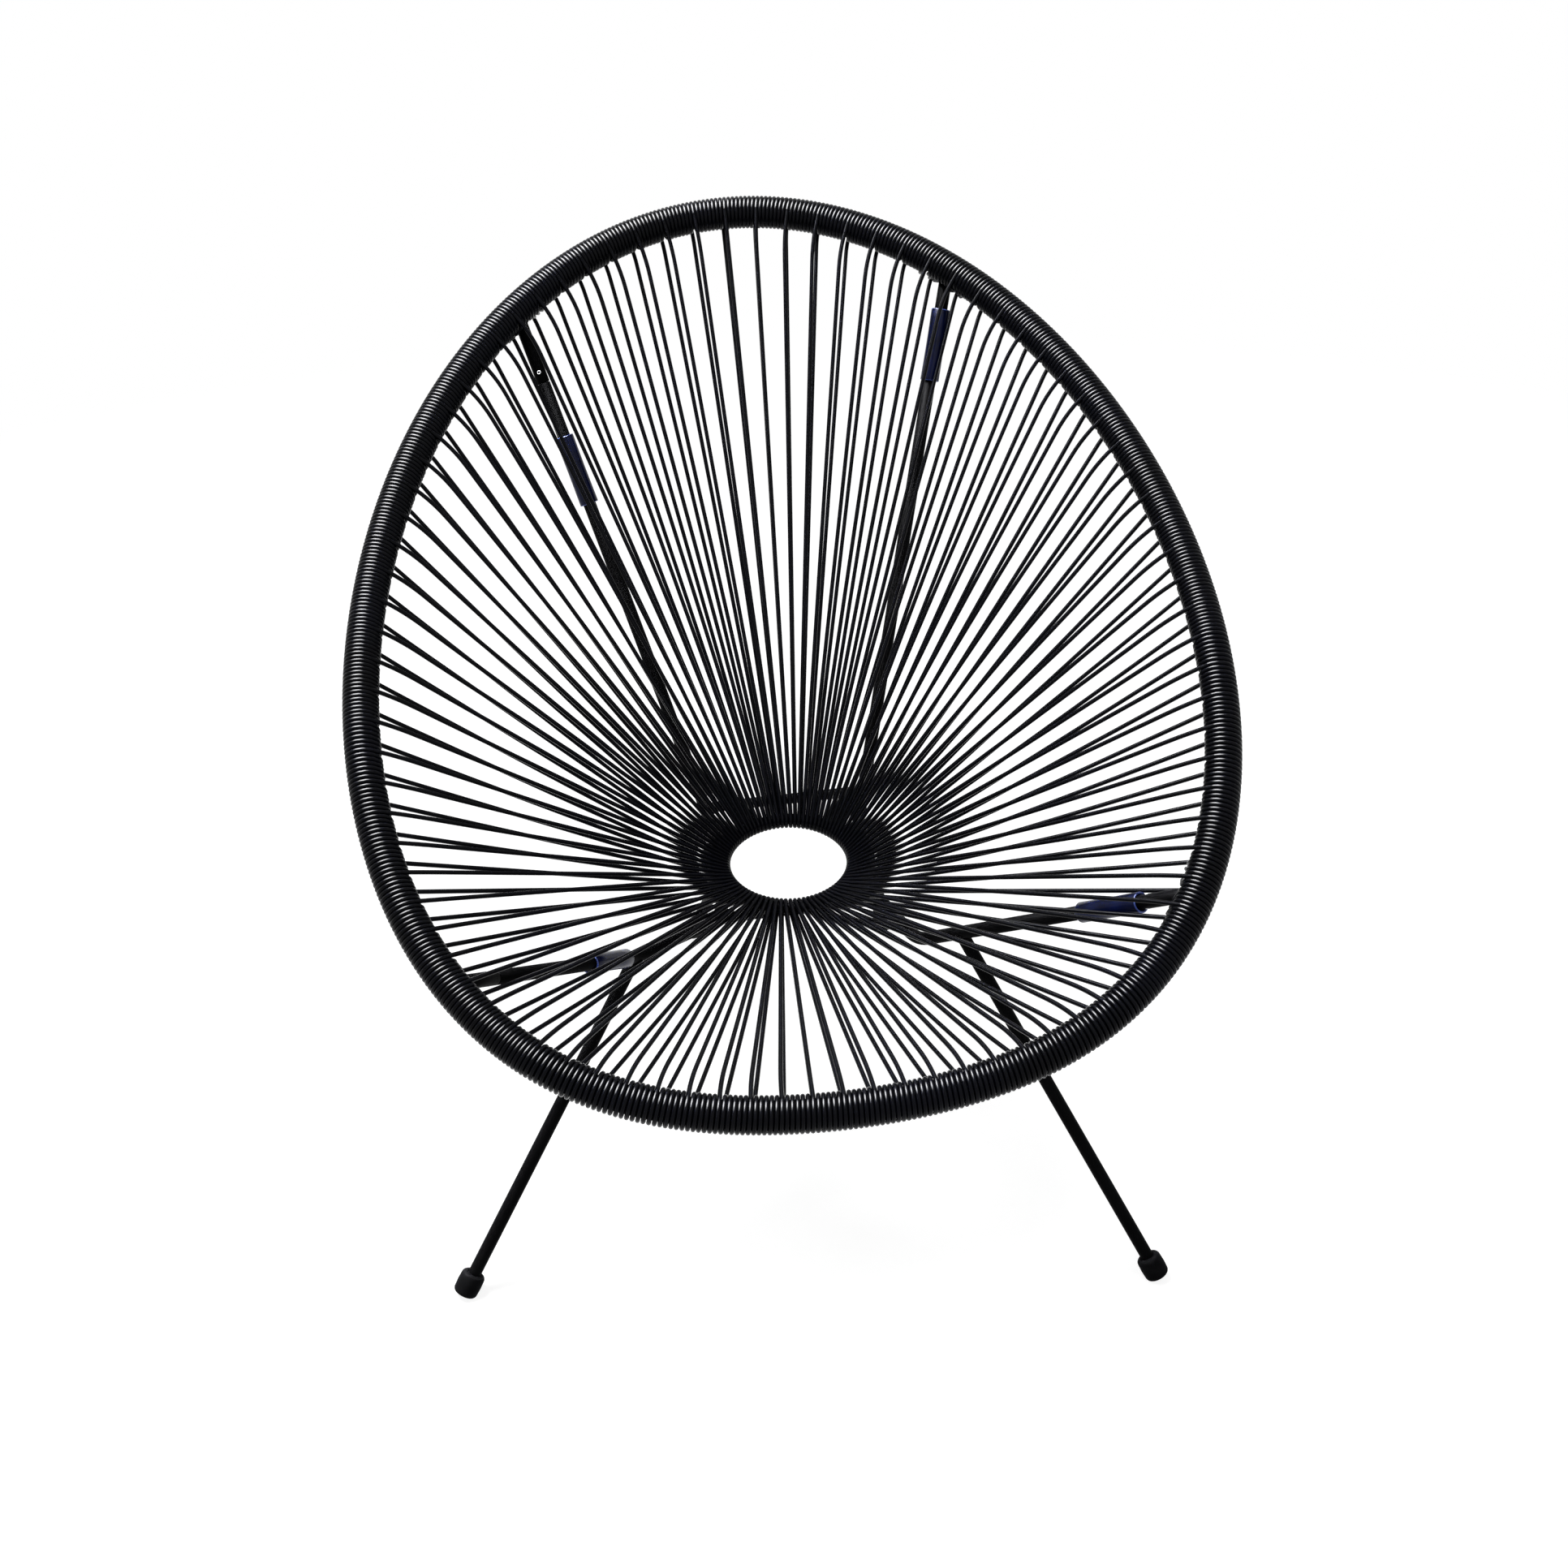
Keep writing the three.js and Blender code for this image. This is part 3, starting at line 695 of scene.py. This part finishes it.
def weld_bead_tree():
    """Overlapping ripples of weld along each chain of edges."""
    tree, source, given = new_tree("weld_bead", [
        ("Bead radius", "NodeSocketFloat"), ("Spacing", "NodeSocketFloat"), ("Seed", "NodeSocketInt"),
        ("Finish", "NodeSocketMaterial")])
    chain = tree.nodes.new("GeometryNodeMeshToCurve")
    even = tree.nodes.new("GeometryNodeResampleCurve")
    even.mode = "LENGTH"
    drop = tree.nodes.new("GeometryNodeMeshIcoSphere")
    drop.inputs["Subdivisions"].default_value = 2
    place = tree.nodes.new("GeometryNodeInstanceOnPoints")
    size = tree.nodes.new("FunctionNodeRandomValue")
    size.data_type = "FLOAT"
    limits = [socket for socket in size.inputs if socket.type == "VALUE" and socket.name in ("Min", "Max")]
    limits[0].default_value = BEAD_SIZES[0]
    limits[1].default_value = BEAD_SIZES[1]
    tree.links.new(source.outputs["Geometry"], chain.inputs["Mesh"])
    tree.links.new(chain.outputs["Curve"], even.inputs["Curve"])
    tree.links.new(source.outputs["Spacing"], even.inputs["Length"])
    tree.links.new(even.outputs["Curve"], place.inputs["Points"])
    tree.links.new(source.outputs["Bead radius"], drop.inputs["Radius"])
    tree.links.new(drop.outputs["Mesh"], place.inputs["Instance"])
    tree.links.new(source.outputs["Seed"], size.inputs["Seed"])
    value = next(socket for socket in size.outputs if socket.type == "VALUE")
    tree.links.new(value, place.inputs["Scale"])
    finish_tree(tree, source, given, place.outputs["Instances"])
    return tree


def grown(name, chains, tree, values):
    """Runs a tree on chains of points and returns the plain mesh piece."""
    mesh = bpy.data.meshes.new(name + "_route")
    points, edges = [], []
    for chain, closed in chains:
        first = len(points)
        points.extend(tuple(point) for point in chain)
        edges.extend((first + index, first + index + 1) for index in range(len(chain) - 1))
        if closed:
            edges.append((first + len(chain) - 1, first))
    mesh.from_pydata(points, edges, [])
    piece = bpy.data.objects.new(name, mesh)
    bpy.context.scene.collection.objects.link(piece)
    modifier = piece.modifiers.new("shape", "NODES")
    modifier.node_group = tree
    sockets = {item.name: item.identifier for item in tree.interface.items_tree
               if item.item_type == "SOCKET" and item.in_out == "INPUT"}
    for label, value in values.items():
        modifier[sockets[label]] = value
    bpy.context.view_layer.update()
    solid = bpy.data.meshes.new_from_object(piece.evaluated_get(bpy.context.evaluated_depsgraph_get()))
    piece.modifiers.remove(modifier)
    piece.data = solid
    solid.name = name
    bpy.data.meshes.remove(mesh)
    return piece


# Cord

def turns_between(loop):
    """How many times the cord goes round the hoop after this loop, towards the one before, and its pitch."""
    room = loop_place(loop) - loop_place(loop - 1)
    turns = int(room / TIGHTEST_PITCH)
    return turns, room / turns


def stub_spots():
    """Where each stub comes out through the winding: along the hoop, and round it."""
    spots = []
    for side in SIDES.values():
        for level in ("upper", "lower"):
            loop = side["stub"][level] * LOOPS
            low, high = loop_place(math.floor(loop)), loop_place(math.ceil(loop))
            length = low + (high - low) * (loop - math.floor(loop))
            spot = Spot(length)
            way = (strut_target(side, level) - weld_place(side, level)).normalized()
            out, ahead, behind = way.dot(spot.outward), way.dot(spot.front), SETBACK[level]
            across = out * out + ahead * ahead
            inside = (ahead * behind) ** 2 - across * (behind ** 2 - WOUND_RADIUS ** 2)
            reach = (ahead * behind + math.sqrt(inside)) / across
            angle = math.atan2(ahead * reach - behind, out * reach)
            spots.append((length + reach * way.dot(spot.run), angle))
    return spots


def pushed_aside(length, angle, pitch, stubs):
    """Where a turn lies beside a stub, and how far it climbs: every other one climbs on its neighbours."""
    for stub_length, stub_angle in stubs:
        away = length - stub_length
        turn = round((angle - stub_angle) / FULL_TURN)
        swing = angle - stub_angle - turn * FULL_TURN
        if abs(away) > STUB_REACH or abs(swing) > STUB_ARC:
            continue
        blend = min(1, (math.cos(swing / STUB_ARC * math.pi) + 1) / 2 * STUB_FULLNESS)
        spread = math.copysign(STUB_ROOM + abs(away) * (1 - STUB_ROOM / STUB_REACH), away)
        passing = away + swing / FULL_TURN * pitch
        climbs = math.floor(passing / pitch) % 2
        climb = climbs * STUB_CLIMB * blend * min(1, (STUB_REACH - abs(away)) / pitch)
        return length + (spread - away) * blend, climb
    return length, 0


def leaving_place(loop):
    return loop_place(loop) + LOOP_SHIFT + turns_between(loop + 1)[1] / 4


def arriving_place(loop):
    return loop_place(loop) + LOOP_SHIFT - turns_between(loop)[1] / 4


def wound_chain(loop, stubs):
    """From where the cord comes up behind the hoop, round it, to where it leaves in front."""
    turns, pitch = turns_between(loop)
    start, end = arriving_place(loop), leaving_place(loop - 1)
    behind = tangent_angles(Spot(start), HubSpot(loop - HUB_DRIFT))[1]
    ahead = tangent_angles(Spot(end), HubSpot(loop - 1 + HUB_DRIFT))[0]
    sweep = ahead - behind + FULL_TURN * (turns - 1)
    steps = round(sweep / FULL_TURN * TURN_STEPS)
    chain = []
    for step in range(steps + 1):
        share = step / steps
        angle = behind + sweep * share
        length, climb = pushed_aside(start + (end - start) * share, angle, pitch, stubs)
        chain.append(Spot(length).around(WOUND_RADIUS + climb, angle))
    return chain


def bent_from_hoop(spot, angle, goal, bend):
    """The stiff cord leaves square to the hoop and bends towards the hub. Points from the hoop on."""
    start = spot.around(WOUND_RADIUS, angle)
    way = goal - start
    square = (way - spot.run * way.dot(spot.run)).normalized()
    knee = start + square * bend
    end = knee + (goal - knee).normalized() * bend
    points = []
    for step in range(BEND_POINTS + 1):
        share = step / BEND_POINTS
        points.append(start * (1 - share) ** 2 + knee * 2 * share * (1 - share) + end * share ** 2)
    return points


def strand_chain(loop, slack_down, slack_up):
    """From the hoop's front down to the hub, round it and back up behind the hoop."""
    leaving, arriving = Spot(leaving_place(loop)), Spot(arriving_place(loop))
    down, up = HubSpot(loop + HUB_DRIFT + slack_down), HubSpot(loop - HUB_DRIFT + slack_up)
    ahead, _, above, _ = tangent_angles(leaving, down)
    _, behind, _, below = tangent_angles(arriving, up)
    chain = bent_from_hoop(leaving, ahead, down.around(HUB_WRAP_RADIUS, above), FRONT_BEND)
    for step in range(HUB_WRAP_STEPS + 1):
        share = step / HUB_WRAP_STEPS
        slack = slack_down * (1 - share) ** 3 + slack_up * share ** 3
        spot = HubSpot(loop + slack + HUB_DRIFT * (1 - 2 * share))
        chain.append(spot.around(HUB_WRAP_RADIUS, above + (below - above) * share))
    return chain + bent_from_hoop(arriving, behind, chain[-1], BACK_BEND)[::-1]


def make_cords(finish):
    tree = round_cord_tree()
    round_cord = {"Cord radius": CORD, "Sides": CORD_SIDES, "Finish": finish}
    stubs = stub_spots()
    chance = random.Random(CORD_SEED)
    for web in range(WEBS):
        name = f"cord_web_{web + 1}"
        first = web * LOOPS_PER_WEB
        chains = []
        for loop in range(first, first + LOOPS_PER_WEB):
            slack_down = chance.uniform(-HUB_SLACK, HUB_SLACK)
            slack_up = chance.uniform(-HUB_SLACK, HUB_SLACK)
            chains.append((strand_chain(loop, slack_down, slack_up), False))
        put_in(grown(f"{name}_strands", chains, tree, round_cord), name)
        name = f"hoop_winding_{web + 1}"
        first += LOOPS_PER_WEB // 2 + 1
        chains = [(wound_chain(loop, stubs), False) for loop in range(first, first + LOOPS_PER_WEB)]
        put_in(grown(f"{name}_turns", chains, tree, round_cord), name)


# Hoop, hub ring and rods

def place_of(shares, with_basket, height=KEEL_HEIGHT):
    """A place in plan, turned with the basket or straight on the base."""
    point = Vector((HOOP_HALF_WIDTH * shares[0], HOOP_HALF_LENGTH * shares[1], height))
    return (turned(point) if with_basket else point) + MIDDLE


def make_ring(name, node, middles, radius, sides, coat):
    shell = Shell()
    shell.rings(swept(middles, radius, sides, True), True)
    put_in(finished(name, shell.mesh(name), [coat]), node)


def make_rings(coat):
    around = [hoop_point(index / HOOP_RINGS * FULL_TURN) for index in range(HOOP_RINGS)]
    make_ring("outer_hoop_tube", "outer_hoop", around, HOOP_TUBE, HOOP_SIDES, coat)
    around = [HubSpot(loop).middle for loop in range(LOOPS)]
    make_ring("hub_ring_rod", "hub_ring", around, HUB_ROD, HUB_SIDES, coat)


def weld_place(side, level):
    """Where the stub of this side and level is welded to the hoop."""
    loop = side["stub"][level] * LOOPS
    low, high = Spot(loop_place(math.floor(loop))), Spot(loop_place(math.ceil(loop)))
    middle = low.middle.lerp(high.middle, loop - math.floor(loop))
    return middle - Spot(loop_place(loop)).front * SETBACK[level]


def strut_target(side, level):
    """The corner of the cradle rod that this stub points to."""
    if level == "upper":
        return place_of(side["strut_foot"], True)
    return place_of(side["corner"], False)


def to_surface(start, direction, rod_place, rod_run, radius):
    """Distance along a line to where it first meets a round rod's surface."""
    across = start - rod_place
    across = across - rod_run * across.dot(rod_run)
    way = direction - rod_run * direction.dot(rod_run)
    a, b, c = way.dot(way), 2 * across.dot(way), across.dot(across) - radius * radius
    inside = b * b - 4 * a * c
    if inside < 0:
        return -b / (2 * a)
    return (-b - math.sqrt(inside)) / (2 * a)


def seat_line(start, direction, rod_place, rod_run, radius):
    """The closed line of the weld where a bar of this radius runs up against a rod."""
    across = first_across(direction)
    edges = circle(start, across, direction.cross(across), radius + BEAD_RISE, BEAD_STEPS)
    seat = ROD + BEAD_SEAT
    return [edge + direction * to_surface(edge, direction, rod_place, rod_run, seat) for edge in edges]


def coped_bar(start, end, radius, seats):
    """A round bar from start to end. A seat, the place and run of a rod, shapes an end to that rod."""
    run = (end - start).normalized()
    across = first_across(run)
    up = run.cross(across)
    first_ring, last_ring = [], []
    for edge in circle(Vector(), across, up, radius, ROD_SIDES):
        low, high = start + edge, end + edge
        if seats[0]:
            low = high - run * to_surface(high, -run, *seats[0], ROD)
        if seats[1]:
            high = low + run * to_surface(low, run, *seats[1], ROD)
        first_ring.append(low)
        last_ring.append(high)
    rings = [first_ring]
    for share in BAR_RING_SHARES:
        rings.append([low.lerp(high, share) for low, high in zip(first_ring, last_ring)])
    rings.append(last_ring)
    return rings


class Base:
    """Builds one side of the rod base after the other, and keeps its weld lines."""

    def __init__(self, finishes):
        # edge is the brighter blue of the sleeves' end rims, a painted highlight.
        self.coat, self.zinc, self.sleeve, self.edge, self.rubber = finishes
        self.welds = []
        self.struts = []
        self.keels = []

    def piece(self, name, shell, node, slot, materials, body="frame"):
        put_in(finished(name, shell.mesh(name), materials), node, body)

    def stub(self, name, place, axis):
        bore = PIN + GAP
        floor = STUB_LENGTH - PIN_LENGTH - GAP
        shell = Shell()
        profile = [(0, POLE), (0, ROD - CHAMFER), (CHAMFER, ROD), (STUB_LENGTH / 2, ROD),
                   (STUB_LENGTH - CHAMFER, ROD), (STUB_LENGTH, ROD - CHAMFER), (STUB_LENGTH, bore),
                   (floor, bore), (floor, POLE)]
        shell.rings(turned_on_lathe(place, axis, profile, ROD_SIDES))
        self.piece(f"hoop_stub_{name}_rod", shell, f"hoop_stub_{name}", "coated_steel", [self.coat])

    def screw(self, name, place, axis):
        """A grub screw as long as the stub is thick, with a six-sided socket in its outer end."""
        across = axis.cross(SIDEWAYS).normalized()
        shell = Shell()
        profile = [(-ROD, POLE), (-ROD, SCREW_EDGE), (-ROD + SCREW_CHAMFER, SCREW),
                   (ROD - SCREW_CHAMFER, SCREW), (ROD, SCREW_EDGE)]
        rings = turned_on_lathe(place, across, profile, SCREW_SIDES)
        socket = [(ROD, SCREW_SOCKET), (ROD - SCREW_SOCKET_DEPTH, SCREW_SOCKET)]
        per_flat = SCREW_SIDES // SCREW_CORNERS
        for corners in turned_on_lathe(place, across, socket, SCREW_CORNERS):
            ring = []
            for index, corner in enumerate(corners):
                following = corners[(index + 1) % SCREW_CORNERS]
                ring.extend(corner.lerp(following, step / per_flat) for step in range(per_flat))
            rings.append(ring)
        shell.rings(rings)
        self.piece(f"joint_screw_{name}_grub", shell, f"joint_screw_{name}", "screw_steel", [self.zinc])

    def sleeve_on(self, name, place, axis):
        """A soft sleeve, a little slimmer at its middle, with its end rims in a brighter blue, a painted
        highlight.
        """
        lip, end = SLEEVE_LIP, SLEEVE_LENGTH
        outside = SLEEVE_RADIUS - 0.1 * MM
        flank = SLEEVE_RADIUS - 0.25 * MM
        waist = SLEEVE_RADIUS - 0.35 * MM
        shoulder = SLEEVE_RADIUS - 0.3 * MM
        inside = SLEEVE_BORE + 0.2 * MM
        throat = SLEEVE_BORE + 0.1 * MM
        outer_rim = (SLEEVE_RADIUS + SLEEVE_BORE) / 2 + 0.2 * MM
        inner_rim = (SLEEVE_RADIUS + SLEEVE_BORE) / 2 - 0.3 * MM
        profile = [(lip, outside), (end / 4, flank), (end / 2, waist), (end * 3 / 4, flank),
                   (end - lip, outside), (end - SLEEVE_NOSE, shoulder), (end, outer_rim), (end, inner_rim),
                   (end - lip, inside), (end / 2, throat), (lip, inside), (0, inner_rim),
                   (0, outer_rim), (SLEEVE_NOSE, shoulder)]
        # The second slot, called cut, gives the end rims their brighter blue, a painted highlight.
        plastic, cut = 0, 1
        slots = [plastic] * 4 + [cut] * 4 + [plastic] * 2 + [cut] * 4
        shell = Shell()
        shell.rings(turned_on_lathe(place, axis, profile, SLEEVE_SIDES), True, slots)
        self.piece(f"joint_sleeve_{name}_tube", shell, f"joint_sleeve_{name}", "sleeve_plastic",
                   [self.sleeve, self.edge], f"sleeve_{name}")

    def cradle(self, name, route, ends):
        """The bent rod, from the pin in one stub to the pin in the other."""
        (top, top_axis), (front, front_axis) = ends
        points = [top - top_axis * PIN_LENGTH, top - top_axis * SHOULDER, top, top + top_axis * CHAMFER]
        points += route[1:-1]
        points += [front + front_axis * CHAMFER, front, front - front_axis * SHOULDER,
                   front - front_axis * PIN_LENGTH]
        tip = [PIN, PIN, ROD - CHAMFER, ROD]
        radii = tip + [ROD] * (len(points) - 2 * len(tip)) + tip[::-1]
        shell = Shell()
        shell.rings(swept(points, radii, ROD_SIDES))
        self.piece(f"cradle_rod_{name}_bent", shell, f"cradle_rod_{name}", "coated_steel", [self.coat])

    def leg(self, name, top, foot, rod_run):
        """A leg from the cradle rod down into its cap, whose lower edge the floor cuts flat."""
        lean = math.atan2(math.hypot(foot.x - top.x, foot.y - top.y), top.z)
        rim = CAP_LENGTH / 2 * math.cos(lean) + (CAP_RADIUS - CAP_ROUND) * math.sin(lean)
        centre = Vector((foot.x, foot.y, rim - CAP_FLOOR_CUT))
        axis = (top - centre).normalized()
        low = centre + axis * (CAP_LENGTH / 2 - CAP_SOCKET + GAP)
        shell = Shell()
        shell.rings(coped_bar(low, top, ROD, (None, (top, rod_run))))
        self.piece(f"{name}_leg_rod", shell, f"{name}_leg", "coated_steel", [self.coat])
        self.welds.append(seat_line(low, axis, top, rod_run, ROD))
        self.cap(f"{name}_foot_cap", centre, axis)

    def cap(self, name, centre, axis):
        """A rubber cap with rounded ends, cut flat by the floor."""
        foot, head, mouth = -CAP_LENGTH / 2, CAP_LENGTH / 2, ROD + GAP
        flat = CAP_RADIUS - CAP_ROUND
        profile = [(foot, POLE), (foot, flat)]
        angles = [step / CAP_ROUND_STEPS * QUARTER for step in range(CAP_ROUND_STEPS + 1)]
        for angle in angles[1:]:
            profile.append((foot + CAP_ROUND_DEPTH * (1 - math.cos(angle)),
                            flat + CAP_ROUND_WIDTH * math.sin(angle)))
        profile.append((0, CAP_RADIUS))
        for angle in angles:
            profile.append((head - CAP_ROUND_DEPTH * (1 - math.sin(angle)),
                            flat + CAP_ROUND_WIDTH * math.cos(angle)))
        profile += [(head, mouth + CAP_MOUTH), (head - CAP_MOUTH_DEPTH, mouth), (head - CAP_SOCKET, mouth),
                    (head - CAP_SOCKET, POLE)]
        shell = Shell()
        shell.rings(turned_on_lathe(centre, axis, profile, CAP_SIDES))
        for point in shell.points:
            point.z = max(point.z, 0)
        self.piece(f"{name}_rubber", shell, name, "foot_rubber", [self.rubber])

    def joint(self, name, side, level):
        """Stub, screw and sleeve of one joint. Returns where the cradle rod starts there, and its axis."""
        weld = weld_place(side, level)
        run = strut_target(side, level) - weld
        axis = run.normalized()
        self.stub(name, weld, axis)
        self.screw(name, weld + axis * (STUB_LENGTH - PIN_LENGTH / 2), axis)
        room = run.length - SLEEVE_LENGTH - SLEEVE_ROOM
        self.sleeve_on(name, weld + axis * (side["sleeve"][level] * room), axis)
        return weld + axis * (STUB_LENGTH + GAP), axis

    def side(self, name, side):
        top, top_axis = self.joint(f"upper_{name}", side, "upper")
        front, front_axis = self.joint(f"lower_{name}", side, "lower")
        strut_foot, corner = strut_target(side, "upper"), strut_target(side, "lower")
        keel = place_of(side["keel_front"], True)
        keel_run = (keel - strut_foot).normalized()
        route = rounded([top, strut_foot, keel, corner, front], BEND_RADIUS, BEND_STEPS)
        self.cradle(name, route, ((top, top_axis), (front, front_axis)))
        lower_run = (corner - weld_place(side, "lower")).length
        leg_top = corner - front_axis * side["leg"] * lower_run
        self.leg(f"front_{name}", leg_top, place_of(side["front_foot"], False, 0), front_axis)
        self.leg(f"rear_{name}", route[1 + BEND_STEPS], place_of(side["rear_foot"], False, 0), keel_run)
        self.struts.append((strut_foot - top_axis * REAR_CROSS_BAR_RISE, top_axis))
        self.keels.append((keel, keel_run))

    def cross_bar(self, name, seats):
        (left, left_run), (right, right_run) = seats
        shell = Shell()
        shell.rings(coped_bar(left, right, CROSS_BAR, seats))
        self.piece(f"{name}_rod", shell, name, "coated_steel", [self.coat])
        way = (right - left).normalized()
        middle = left.lerp(right, 0.5)
        self.welds.append(seat_line(middle, way, right, right_run, CROSS_BAR))
        self.welds.append(seat_line(middle, -way, left, left_run, CROSS_BAR))


def make_base(finishes):
    base = Base(finishes)
    for name, side in SIDES.items():
        base.side(name, side)
    base.cross_bar("rear_cross_bar", base.struts)
    base.cross_bar("front_cross_bar", base.keels)
    beads = grown("weld_beads", [(line, True) for line in base.welds], weld_bead_tree(),
                  {"Bead radius": BEAD, "Spacing": BEAD, "Seed": BEAD_SEED, "Finish": base.coat})
    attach(beads, "frame")


bpy.context.scene.view_settings.view_transform = "Standard"
set_camera()
set_world()
set_lamps()
set_floor()
coat = coat_finish()
make_cords(cord_finish())
make_rings(coat)
make_base((coat, zinc_finish(), sleeve_finish(), sleeve_rim_highlight_finish(), rubber_finish()))
